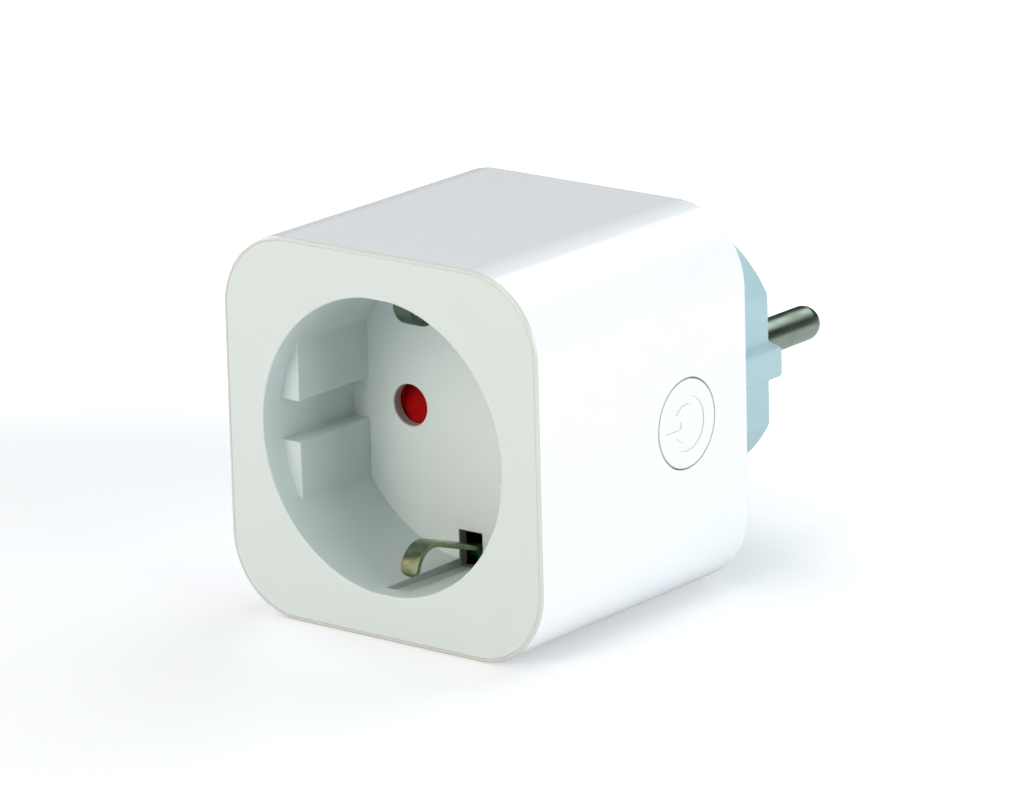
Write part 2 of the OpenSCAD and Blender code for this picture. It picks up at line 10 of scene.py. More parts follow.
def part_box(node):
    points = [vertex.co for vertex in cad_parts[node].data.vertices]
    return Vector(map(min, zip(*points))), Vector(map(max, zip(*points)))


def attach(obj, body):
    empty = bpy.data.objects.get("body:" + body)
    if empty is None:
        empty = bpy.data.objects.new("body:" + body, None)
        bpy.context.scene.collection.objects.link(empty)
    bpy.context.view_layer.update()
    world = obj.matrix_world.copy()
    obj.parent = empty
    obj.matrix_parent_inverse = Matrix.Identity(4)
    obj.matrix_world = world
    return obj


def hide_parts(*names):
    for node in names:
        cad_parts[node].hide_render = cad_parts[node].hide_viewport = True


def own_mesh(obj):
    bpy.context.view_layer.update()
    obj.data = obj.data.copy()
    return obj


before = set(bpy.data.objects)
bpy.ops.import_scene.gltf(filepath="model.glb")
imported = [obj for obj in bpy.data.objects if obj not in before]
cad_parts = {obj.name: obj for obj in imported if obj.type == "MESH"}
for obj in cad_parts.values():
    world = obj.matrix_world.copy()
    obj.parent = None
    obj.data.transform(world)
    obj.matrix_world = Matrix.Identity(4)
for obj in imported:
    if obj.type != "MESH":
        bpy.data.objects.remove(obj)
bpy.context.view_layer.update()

mm = 0.001
scene = bpy.context.scene


def span(node, axis):
    # lowest and highest value of a CAD node along one axis
    low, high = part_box(node)
    return low[axis], high[axis]


bodyLeft, bodyRight = span("outer_sleeve", 0)
bodyFront, bodyBack = span("outer_sleeve", 1)
bodyWidth = (bodyRight - bodyLeft) / mm
halfWidth = bodyWidth / 2
bodyDepth = (bodyBack - bodyFront) / mm
axisHeight = halfWidth * mm


def fromFront(value):
    # millimetres behind the front face
    return (value - bodyFront) / mm


plugFace = fromFront(span("plug_base", 1)[1])
pinEnd = fromFront(span("plug_pin_right", 1)[1])
pinX = sum(span("plug_pin_right", 0)) / 2 / mm
buttonY = fromFront(sum(span("power_button", 1)) / 2)
floorFront = 17.5  # depth of the well
floorBack = fromFront(span("shutter_guide", 1)[0])
plateInside = bodyDepth - 1.6  # the plates are 1.6 mm thick
buttonReach = span("power_button", 0)[0] / mm  # where the button's stem ends
print("frame loaded: body", round(bodyWidth, 2), "mm wide, plug face at", round(plugFace, 2))


view = {
    "azimuth": 38.669,
    "elevation": 15.846,
    "roll": -1.455,
    "distance": 0.82178,
    "target": (0.00408, -0.015, 0.028697),
    "lens": 224.53,
    "shiftX": -0.01545,
    "shiftY": -0.01414,
}


def makeCamera():
    az = math.radians(view["azimuth"])
    el = math.radians(view["elevation"])
    back = Vector((math.sin(az) * math.cos(el), -math.cos(az) * math.cos(el), math.sin(el)))
    right = (-back).cross(Vector((0, 0, 1))).normalized()
    up = right.cross(-back)
    roll = math.radians(view["roll"])
    turnedRight = right * math.cos(roll) + up * math.sin(roll)
    turnedUp = up * math.cos(roll) - right * math.sin(roll)
    data = bpy.data.cameras.new("camera")
    data.lens = view["lens"]
    data.sensor_width = 36
    data.shift_x = view["shiftX"]
    data.shift_y = view["shiftY"]
    data.clip_start = 0.01
    camera = bpy.data.objects.new("camera", data)
    place = Vector(view["target"]) + back * view["distance"]
    scene.collection.objects.link(camera)
    camera.matrix_world = Matrix((
        (turnedRight.x, turnedUp.x, back.x, place.x),
        (turnedRight.y, turnedUp.y, back.y, place.y),
        (turnedRight.z, turnedUp.z, back.z, place.z),
        (0, 0, 0, 1),
    ))
    scene.camera = camera


class Shade:
    # one value or colour in a node tree, so that maths on it reads like maths
    def __init__(self, tree, socket):
        self.tree = tree
        self.socket = socket

    def node(self, kind, settings=None, inputs=None, output=0):
        # any node: its settings are made first, then its inputs are set or linked
        made = self.tree.nodes.new(kind)
        for name, value in (settings or {}).items():
            setattr(made, name, value)
        for name, value in (inputs or {}).items():
            socket = made.inputs[name]
            if isinstance(value, Shade):
                self.tree.links.new(value.socket, socket)
            elif value is not None:
                socket.default_value = value
        return Shade(self.tree, made.outputs[output])

    def maths(self, operation, first, second=None):
        return self.node("ShaderNodeMath", {"operation": operation}, {0: first, 1: second})

    def __add__(self, other):
        return self.maths("ADD", self, other)

    def __radd__(self, other):
        return self.maths("ADD", other, self)

    def __sub__(self, other):
        return self.maths("SUBTRACT", self, other)

    def __rsub__(self, other):
        return self.maths("SUBTRACT", other, self)

    def __mul__(self, other):
        return self.maths("MULTIPLY", self, other)

    def __rmul__(self, other):
        return self.maths("MULTIPLY", other, self)

    def soften(self, low, high):
        # 0 below low, 1 above high, an S-shaped rise between them
        settings = {"interpolation_type": "SMOOTHSTEP"}
        return self.node("ShaderNodeMapRange", settings, {"Value": self, "From Min": low, "From Max": high})

    def blend(self, low, high):
        # the colour low where this is 0, the colour high where it is 1
        fill = [c if isinstance(c, Shade) else (*c, 1) for c in (low, high)]
        return self.node("ShaderNodeMix", {"data_type": "RGBA"}, {0: self, 6: fill[0], 7: fill[1]}, 2)


class Finish:
    # a material being made; what is the same all over goes straight onto the shader's own sockets
    def __init__(self, name, colour, roughness, **constants):
        self.material = bpy.data.materials.new(name)
        self.material.use_nodes = True
        self.tree = self.material.node_tree
        self.shader = self.tree.nodes["Principled BSDF"]
        self.set("Base Color", (*colour, 1))
        self.set("Roughness", roughness)
        for key, value in constants.items():
            self.set(key.replace("_", " "), value)
        start = Shade(self.tree, None)
        self.node = start.node
        self.place = start.node("ShaderNodeTexCoord", output=3)

    def set(self, name, value):
        if isinstance(value, Shade):
            self.tree.links.new(value.socket, self.shader.inputs[name])
        else:
            self.shader.inputs[name].default_value = value

    def stretched(self, scale):
        # the object's own coordinates, stretched
        return self.node("ShaderNodeMapping", inputs={"Vector": self.place, "Scale": scale})

    def noise(self, scale, detail=2.0, stretch=(1, 1, 1), softness=0.5):
        # cloudy values from 0 to 1, with about `scale` clouds a metre
        place = self.stretched(tuple(scale * s for s in stretch))
        inputs = {"Vector": place, "Scale": 1.0, "Detail": detail, "Roughness": softness}
        return self.node("ShaderNodeTexNoise", inputs=inputs)

    def bump(self, height, depth):
        inputs = {"Height": height, "Strength": 1.0, "Distance": depth}
        self.set("Normal", self.node("ShaderNodeBump", inputs=inputs))

    def shadedBetween(self, colour, axis, start, end, tint):
        # the colour gives way to the tint, a painted shade, between a start and an end along X, Y or Z, each of
        # them a soft step
        where = self.node("ShaderNodeSeparateXYZ", inputs={"Vector": self.place}, output=axis)
        return (where.soften(*start) - where.soften(*end)).blend(colour, tint)


def scaled(colour, factor):
    return tuple(min(1.0, c * factor) for c in colour)


mouldings = {
    # colour, roughness, clouding of the colour, grain a metre, grain depth in metres, gloss coat
    "front_plastic": ((0.600, 0.690, 0.675), 0.46, 0.012, 5200, 0.000006, 0.0),
    "sleeve_plastic": ((0.900, 0.920, 0.940), 0.24, 0.006, 900, 0.0000012, 0.25),
    "plug_plastic": ((0.425, 0.585, 0.625), 0.42, 0.015, 4200, 0.000005, 0.0),
    "button_plastic": ((0.900, 0.930, 0.860), 0.36, 0.008, 3800, 0.000003, 0.0),
    "red_plastic": ((0.380, 0.0002, 0.0002), 0.70, 0.05, 2600, 0.000003, 0.0),
    "inner_plastic": ((0.620, 0.630, 0.600), 0.52, 0.03, 2600, 0.000008, 0.0),
    "black_plastic": ((0.020, 0.020, 0.022), 0.45, 0.15, 3000, 0.000006, 0.0),
    "relay_blue": ((0.030, 0.140, 0.420), 0.30, 0.06, 1800, 0.000004, 0.2),
    "capacitor_yellow": ((0.700, 0.520, 0.060), 0.34, 0.05, 1800, 0.000004, 0.2),
    "varistor_blue": ((0.060, 0.190, 0.430), 0.38, 0.08, 1200, 0.000012, 0.2),
    "fuse_green": ((0.130, 0.380, 0.170), 0.33, 0.06, 1500, 0.000006, 0.2),
    "can_sleeve": ((0.022, 0.030, 0.110), 0.28, 0.08, 900, 0.000003, 0.3),
    "wire_red": ((0.480, 0.020, 0.018), 0.42, 0.06, 2000, 0.000005, 0.0),
    "chip_epoxy": ((0.022, 0.022, 0.024), 0.55, 0.20, 5000, 0.000006, 0.0),
    "led_lens": ((0.700, 0.830, 0.900), 0.15, 0.04, 900, 0.000002, 0.4),
}


paintedShade = {
    # number of the axis, where the tint comes in, where it goes out again, in metres, and its colour
    # painted shade: the upper clip is darker than the lower one, and the walls of the pin holes, the slots and
    # the button's symbol are darker than the faces round them; the sleeve's front lip has the front's tone,
    # which damps its highlight
    # painted shade: the clip above the axis is darkened
    "clip_bronze": (
        2, (axisHeight + 10 * mm, axisHeight + 11 * mm), (axisHeight + 30 * mm, axisHeight + 31 * mm),
        (0.085, 0.135, 0.090),
    ),
    # painted shade: the walls of the pin holes and slots, 17.8 to 19 mm behind the front, are darkened
    "front_plastic": (
        1, (bodyFront + 17.7 * mm, bodyFront + 17.9 * mm), (bodyFront + 18.9 * mm, bodyFront + 19.1 * mm),
        (0.36, 0.32, 0.31),
    ),
    # partly painted shade: the front 0.4 mm of the sleeve, lip and rounded edge, takes the front's tone, which
    # damps the highlight the lamps put on that edge
    "sleeve_plastic": (
        1, (bodyFront - 0.3 * mm, bodyFront - 0.2 * mm), (bodyFront + 0.3 * mm, bodyFront + 0.45 * mm),
        (0.58, 0.62, 0.58),
    ),
    # painted shade: a band just under the button's top is darkened, on the walls of the sunk symbol and on a
    # ring round the cap's rounded edge
    "button_plastic": (
        0, (bodyRight - 0.135 * mm, bodyRight - 0.125 * mm), (bodyRight - 0.03 * mm, bodyRight - 0.01 * mm),
        (0.52, 0.56, 0.54),
    ),
}


def makeMoulding(name, colour, roughness, clouding, grain, depth, coat):
    # moulded plastic: faint flow clouds in the colour, a spark-worn grain, and a gloss that wanders a little;
    # a tint, a painted shade, replaces the colour between two places along an axis
    ior = 1.2 if name == "red_plastic" else 1.5
    finish = Finish(name, colour, roughness, Coat_Weight=coat, Coat_Roughness=0.08, IOR=ior)
    clouds = finish.noise(70, 3)
    fine = finish.noise(grain, 3, softness=0.6)
    wide = finish.noise(420, 2)
    mixed = clouds * 0.7 + fine * 0.3
    cloudy = mixed.blend(scaled(colour, 1 - 2 * clouding), scaled(colour, 1 + 2 * clouding))
    # painted shade, where one is listed for this material
    if name in paintedShade:
        cloudy = finish.shadedBetween(cloudy, *paintedShade[name])
    finish.set("Base Color", cloudy)
    finish.set("Roughness", wide * 0.10 + fine * 0.06 + (roughness - 0.08))
    finish.bump(fine, depth)
    return finish.material


metals = {
    # colour, darker tarnish, roughness, blotches a metre, direction the metal was drawn in, line depth
    "nickel": ((0.31, 0.37, 0.31), (0.26, 0.31, 0.26), 0.31, 160, (1, 0.012, 1), 0.0000012),
    "brass": ((0.72, 0.52, 0.22), (0.50, 0.34, 0.13), 0.30, 220, (1, 0.02, 1), 0.000002),
    "clip_bronze": ((0.25, 0.30, 0.19), (0.14, 0.18, 0.11), 0.33, 520, (1, 0.03, 1), 0.000003),
    "steel": ((0.58, 0.59, 0.60), (0.42, 0.42, 0.42), 0.34, 260, (1, 1, 0.05), 0.000002),
    "tin_plate": ((0.68, 0.69, 0.70), (0.52, 0.53, 0.53), 0.36, 240, (1, 0.05, 1), 0.000002),
    "gold_track": ((0.80, 0.60, 0.24), (0.62, 0.44, 0.16), 0.28, 400, (1, 1, 1), 0.000001),
}


def makeMetal(name, colour, tarnish, roughness, blotches, drawn, depth):
    # plated metal: tarnish in blotches, and fine lines along the way it was drawn
    finish = Finish(name, colour, roughness, Metallic=1.0)
    stain = finish.noise(blotches, 4, softness=0.6).soften(0.42, 0.72)
    lines = finish.noise(7000, 2, stretch=drawn)
    plated = stain.blend(colour, tarnish)
    # where listed, a painted shade replaces the colour between two places along an axis
    if name in paintedShade:
        plated = finish.shadedBetween(plated, *paintedShade[name])
    finish.set("Base Color", plated)
    finish.set("Roughness", stain * 0.14 + lines * 0.10 + (roughness - 0.07))
    finish.bump(lines, depth)
    return finish.material


windings = {
    # colour of the wire or tape, colour between the turns (painted shade in the valleys there), turns a metre,
    # direction of the winding's axis
    "copper_wire": ((0.62, 0.25, 0.10), (0.16, 0.05, 0.02), 3300, "Z", 0.00004),
    "coil_tape": ((0.66, 0.48, 0.06), (0.36, 0.26, 0.03), 420, "Y", 0.00001),
}


def makeWinding(name, colour, gap, turns, axis, depth):
    # turns side by side: a rounded band for each turn, with painted shade between the bands
    finish = Finish(name, colour, 0.3, Coat_Weight=0.4, Coat_Roughness=0.1)
    settings = {"wave_type": "BANDS", "bands_direction": axis, "wave_profile": "SIN"}
    inputs = {"Vector": finish.place, "Scale": turns / 20, "Distortion": 0.0}
    band = finish.node("ShaderNodeTexWave", settings, inputs, 1)
    dull = finish.noise(600, 3)
    # the colour between the turns is painted shade in the valleys
    finish.set("Base Color", band.soften(0.05, 0.5).blend(gap, colour))
    finish.set("Roughness", dull * 0.2 + 0.22)
    finish.bump(band, depth)
    return finish.material


boards = {
    # solder mask, the mask over copper tracks, tracks a metre
    "board_green": ((0.015, 0.16, 0.06), (0.04, 0.30, 0.11), 900),
    "board_blue": ((0.012, 0.045, 0.20), (0.03, 0.10, 0.36), 1200),
}


def makeBoard(name, mask, track, tracks):
    # tracks run where two stretched cell patterns have their edges, with bare tinned dots between them
    finish = Finish(name, mask, 0.3, Coat_Weight=0.3, Coat_Roughness=0.1)
    inputs = {"Vector": finish.stretched((tracks, tracks * 0.35, tracks)), "Scale": 1.0}
    lines = finish.node("ShaderNodeTexVoronoi", {"feature": "DISTANCE_TO_EDGE"}, inputs)
    copper = 1 - lines.soften(0.05, 0.12)
    dots = finish.node("ShaderNodeTexVoronoi", {"feature": "F1"},
                       {"Vector": finish.stretched((600, 600, 600)), "Scale": 1.0, "Randomness": 0.4})
    pad = 1 - dots.soften(0.14, 0.18)
    finish.set("Base Color", pad.blend(copper.blend(mask, track), (0.66, 0.66, 0.64)))
    finish.set("Metallic", pad * 0.9)
    finish.set("Roughness", 0.36 - copper * 0.10)
    finish.bump(copper + pad, 0.00002)
    return finish.material


materials = {}
for slotName, values in mouldings.items():
    materials[slotName] = makeMoulding(slotName, *values)
for slotName, values in metals.items():
    materials[slotName] = makeMetal(slotName, *values)
for slotName, values in windings.items():
    materials[slotName] = makeWinding(slotName, *values)
for slotName, values in boards.items():
    materials[slotName] = makeBoard(slotName, *values)
print("materials ready:", len(materials))

# every CAD node keeps its slot and takes the finish made for it
for node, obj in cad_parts.items():
    for slot in obj.material_slots:
        slot.material = materials[slot.material.name.split(".")[0]]


def inPlace(points):
    # millimetres from the middle of the front face, turned into metres in the frame
    points = np.asarray(points, float) * mm
    points[..., 1] += bodyFront
    points[..., 2] += axisHeight
    return points


class Shell:
    # gathers the surface patches of one piece in millimetres, then welds them into one mesh
    def __init__(self):
        self.points = []
        self.faces = []
        self.count = 0

    def add(self, points, faces):
        points = np.asarray(points, float).reshape(-1, 3)
        self.points.append(points)
        self.faces += (np.asarray(faces, int) + self.count).tolist()
        self.count += len(points)

    def rings(self, rings, skip=None):
        # point (i, j) is point j of ring i, and each face joins (i, j), (i, j + 1), (i + 1, j + 1), (i + 1, j)
        rings = np.asarray(rings, float)
        rows, columns = rings.shape[:2]
        row = np.arange(rows - 1)[:, None] * columns
        here = row + np.arange(columns)
        ahead = row + (np.arange(columns) + 1) % columns
        quads = np.stack([here, ahead, ahead + columns, here + columns], -1)
        self.add(rings, quads[~skip] if skip is not None else quads.reshape(-1, 4))

    def flat(self, loops, axis, value):
        # a flat face square to an axis, inside the first outline and outside the others
        loops = [withoutRepeats(loop) for loop in loops]
        starts = np.cumsum([0] + [len(loop) for loop in loops])
        edges = [
            (start + k, start + (k + 1) % len(loop))
            for start, loop in zip(starts.tolist(), loops) for k in range(len(loop))
        ]
        points = [Vector(p) for p in np.concatenate(loops).tolist()]
        points, _, faces = delaunay_2d_cdt(points, edges, [], 0, 1e-6)[:3]
        points, faces = np.array(points), np.array(faces)
        middles = points[faces].mean(1)
        keep = inside(middles, loops[0])
        for hole in loops[1:]:
            keep &= ~inside(middles, hole)
        self.add(np.insert(points, axis, value, axis=1), faces[keep])

    def spin(self, profile, centre=(0.0, 0.0), steps=64, axis=1):
        # profile (radius, distance along the axis) turned round the axis: (r cos t, d, r sin t)
        profile = np.asarray(profile, float)
        turn = np.linspace(0, 2 * np.pi, steps, endpoint=False)
        across = profile[:, :1] * np.cos(turn) + centre[0]
        upward = profile[:, :1] * np.sin(turn) + centre[1]
        along = np.broadcast_to(profile[:, 1:], across.shape)
        order = (across, along, upward) if axis == 1 else (along, across, upward)
        self.rings(np.stack(order, -1))

    def block(self, x, y, z):
        # a closed box between two values of X, of Y and of Z
        corners = np.stack(np.meshgrid(x, y, z, indexing="ij"), -1).reshape(-1, 3)
        self.add(corners, [(0, 1, 3, 2), (4, 6, 7, 5), (0, 4, 5, 1), (2, 3, 7, 6), (0, 2, 6, 4), (1, 5, 7, 3)])

    def build(self, name, body, finish, replaced, sharp=32.0):
        mesh = bpy.data.meshes.new(name)
        mesh.from_pydata(inPlace(np.concatenate(self.points)).tolist(), [], self.faces)
        work = bmesh.new()
        work.from_mesh(mesh)
        bmesh.ops.remove_doubles(work, verts=work.verts, dist=0.0000025)
        bmesh.ops.dissolve_degenerate(work, edges=work.edges, dist=0.000001)
        bmesh.ops.recalc_face_normals(work, faces=work.faces)
        work.to_mesh(mesh)
        openEdges = sum(len(edge.link_faces) != 2 for edge in work.edges)
        work.free()
        mesh.shade_smooth()
        mesh.set_sharp_from_angle(angle=math.radians(sharp))
        mesh.materials.append(materials[finish])
        obj = bpy.data.objects.new(name, mesh)
        scene.collection.objects.link(obj)
        weighted = obj.modifiers.new("evenNormals", "WEIGHTED_NORMAL")
        weighted.keep_sharp = True
        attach(obj, body)
        if replaced:
            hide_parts(*replaced)
        print("piece", name, "faces", len(mesh.polygons), "open edges", openEdges)
        return obj


def inside(points, loop):
    # a point is inside when a line from it towards +X crosses the outline an odd number of times
    x, y = points[:, :1], points[:, 1:]
    x0, y0 = loop.T
    x1, y1 = np.roll(loop, -1, 0).T
    rise = np.where(y1 == y0, 1, y1 - y0)
    crossed = ((y0 > y) != (y1 > y)) & (x < (x1 - x0) * (y - y0) / rise + x0)
    return crossed.sum(1) % 2 == 1


def withoutRepeats(loop):
    # the outline without points that repeat the one before
    loop = np.asarray(loop, float)
    return loop[np.linalg.norm(loop - np.roll(loop, 1, 0), axis=1) > 1e-5]


def roundedLoop(corners, radii, steps=6):
    # each corner becomes an arc that touches both of its sides
    corners = np.asarray(corners, float)
    radii = np.broadcast_to(np.asarray(radii, float), len(corners))[:, None]
    before = np.roll(corners, 1, 0) - corners
    after = np.roll(corners, -1, 0) - corners
    before /= np.linalg.norm(before, axis=1, keepdims=True)
    after /= np.linalg.norm(after, axis=1, keepdims=True)
    half = np.arccos(np.clip((before * after).sum(1, keepdims=True), -1, 1)) / 2
    inward = before + after
    inward /= np.linalg.norm(inward, axis=1, keepdims=True)
    centre = corners + inward * radii / np.sin(half)
    start = (corners + before * radii / np.tan(half) - centre)[:, None]
    end = (corners + after * radii / np.tan(half) - centre)[:, None]
    sweep = (np.pi - 2 * half)[:, None]
    t = np.linspace(0, 1, steps + 1)[None, :, None]
    arc = (np.sin((1 - t) * sweep) * start + np.sin(t * sweep) * end) / np.sin(sweep)
    return (centre[:, None] + arc).reshape(-1, 2)


def squareLoop(width, radius, steps=16):
    # rounded square, drawn from its lower right corner
    h = width / 2
    return roundedLoop([(h, -h), (h, h), (-h, h), (-h, -h)], radius, steps)


def circleLoop(radius, centre=(0.0, 0.0), steps=64):
    turn = np.linspace(0, 2 * np.pi, steps, endpoint=False)
    return np.stack([np.cos(turn), np.sin(turn)], 1) * radius + centre


def rectangleLoop(x, z):
    return np.array([(x[0], z[0]), (x[1], z[0]), (x[1], z[1]), (x[0], z[1])], float)


def outward(loop):
    # unit normals of a closed outline that runs anticlockwise
    along = np.roll(loop, -1, 0) - np.roll(loop, 1, 0)
    normal = np.stack([along[:, 1], -along[:, 0]], 1)
    return normal / np.linalg.norm(normal, axis=1, keepdims=True)


def atDepth(loop, depth):
    # an outline in X and Z set at a depth
    return np.insert(np.asarray(loop, float), 1, depth, axis=1)


def quarterTurn(radius, steps=5):
    # how far a quarter round of this radius has gone across and along, from its start to its end
    a = np.linspace(0, np.pi / 2, steps + 1)
    return zip(radius * (1 - np.sin(a)), radius * (1 - np.cos(a)))


def roundOver(radius, steps=5):
    # inset and distance along for an outer edge that turns in towards a face
    a = np.linspace(0, np.pi / 2, steps + 1)
    return zip(radius * (1 - np.cos(a)), radius * np.sin(a))


def allRound(quarter):
    # the other three quarters of an outline from its first one, which runs from +X to +Z
    quarter = np.asarray(quarter, float)
    return np.concatenate([
        quarter, quarter[::-1] * (-1, 1), quarter * (-1, -1), quarter[::-1] * (1, -1)
    ])


def between(start, end, steps):
    # points along a straight line, from its start up to, but without, its end
    t = np.linspace(0, 1, steps, endpoint=False)[:, None]
    return (1 - t) * np.asarray(start) + t * np.asarray(end)


def cutCircle(radius, flat, blend, stop, steps=40, blendSteps=8):
    # from an upright flat up to a circle, with a tangent blend between them, then along the circle to x = stop
    rise = math.sqrt((radius - blend) ** 2 - (flat - blend) ** 2)
    turn = math.atan2(rise, flat - blend)
    a = np.linspace(0, turn, blendSteps + 1)
    bend = np.stack([flat - blend + blend * np.cos(a), rise + blend * np.sin(a)], 1)
    b = np.linspace(turn, math.acos(stop / radius), steps + 1)[1:]
    return np.concatenate([bend, radius * np.stack([np.cos(b), np.sin(b)], 1)])


sleeve = {
    "cornerRadius": 10.5,
    "wall": 1.8,
    "lip": 0.5,
    "plate": 1.6,
    "edgeRound": 0.4,
    "buttonHole": 6.05,
    "buttonHoleRound": 0.12,
}


def makeSleeve():
    # a closed profile (depth, inset) carried round a rounded square, with a round hole in the right side
    w, r = bodyWidth, sleeve["cornerRadius"]
    lip, wall, plate, round_ = sleeve["lip"], sleeve["wall"], sleeve["plate"], sleeve["edgeRound"]
    front = [(along, across) for across, along in quarterTurn(round_, 6)]
    rear = [(bodyDepth - d, inset) for d, inset in front[::-1]]
    inner = [
        (bodyDepth, lip), (bodyDepth - plate, lip), (bodyDepth - plate, wall),
        (plate, wall), (plate, lip), (0, lip), front[0],
    ]
    profile = front + rear + inner
    rings = [atDepth(squareLoop(w - 2 * inset, r - inset), depth) for depth, inset in profile]
    steps = 16
    skip = np.zeros((len(profile) - 1, 4 * (steps + 1)), bool)
    outerRow = len(front) - 1
    innerRow = len(front) + len(rear) + 2
    skip[[outerRow, innerRow], steps] = True
    shell = Shell()
    shell.rings(rings, skip)
    side = w / 2 - r
    holeRound, hole = sleeve["buttonHoleRound"], sleeve["buttonHole"]
    outerWindow = rectangleLoop((round_, bodyDepth - round_), (-side, side))
    innerWindow = rectangleLoop((plate, bodyDepth - plate), (-side, side))
    shell.flat([outerWindow, circleLoop(hole + holeRound, (buttonY, 0), 96)], 0, w / 2)
    shell.flat([innerWindow, circleLoop(hole, (buttonY, 0), 96)], 0, w / 2 - wall)
    bore = [(hole + across, w / 2 - along) for across, along in quarterTurn(holeRound, 3)]
    shell.spin(bore + [(hole, w / 2 - wall)], (buttonY, 0), 96, axis=0)
    return shell.build("outerSleeve", "housing", "sleeve_plastic", ["outer_sleeve"])


cover = {
    "seam": 0.02,
    "edgeRound": 0.06,
    "wellRadius": 19.5,
    "rimRound": 0.2,
    "ribFlat": 16.35,
    "ribStart": 3.5,
    "ribBlend": 0.7,
    "ribRound": 0.22,
    "notchHalf": 2.7,
    "notchRound": 0.28,
    "notchFront": 19.45,
    "notchBack": 19.0,
    "channelHalf": 1.95,
    "channelStart": 2.6,
    "channelFront": 20.1,
    "channelBack": 20.5,
    "slotInner": 15.4,
    "holeRadius": 2.8,
    "holeRound": 0.18,
    "tubeRadius": 20.7,
    "bumpHalf": 3.2,
    "bumpTop": 21.7,
    "postPlace": 17.3,
    "postRadius": 2.9,
    "postEnd": 30.0,
    "screwRadius": 1.2,
    "screwDeep": 19.0,
    "drillPoint": 0.6,
    "bossPlace": (7.0, 13.4),
    "bossRadius": 2.0,
    "bossBore": 0.8,
    "bossFrom": 18.6,
    "bossTo": 23.3,
}


def wellQuarter(notch, channel):
    # notch bottom, notch side, rib flat, blend, circle, then the side and bottom of the clip's channel;
    # of the rounded corners only the second and third are kept, six points each
    flat, half = cover["ribFlat"], cover["notchHalf"]
    corners = roundedLoop([(notch, 0), (notch, half), (flat, half), (flat, 8)], cover["notchRound"], 5)[6:18]
    circle = cutCircle(cover["wellRadius"], flat, cover["ribBlend"], cover["channelHalf"])
    middle = between((notch, 0), corners[0], 5)
    rib = between(corners[-1], circle[0], 14)[1:]
    channelCorner = [(cover["channelHalf"], channel)]
    return np.concatenate([middle, corners, rib, circle, channelCorner])


def wellLoop(notch, channel):
    loop = allRound(wellQuarter(notch, channel))
    size = np.linalg.norm(loop, axis=1, keepdims=True)
    beside = np.abs(loop[:, :1]) > cover["channelHalf"] + 0.01
    return np.where(beside & (size > cover["wellRadius"]), loop * cover["wellRadius"] / size, loop)


def ontoCircle(loop, radius):
    # ribs and notches go out to the circle in line with the middle, a channel's points straight up or down
    size = np.linalg.norm(loop, axis=1, keepdims=True)
    height = np.sqrt(np.maximum(radius ** 2 - loop[:, 0] ** 2, 0)) * np.sign(loop[:, 1])
    upright = np.stack([loop[:, 0], height], 1)
    return np.where(np.abs(loop[:, :1]) > cover["channelHalf"] + 0.01, loop * radius / size, upright)


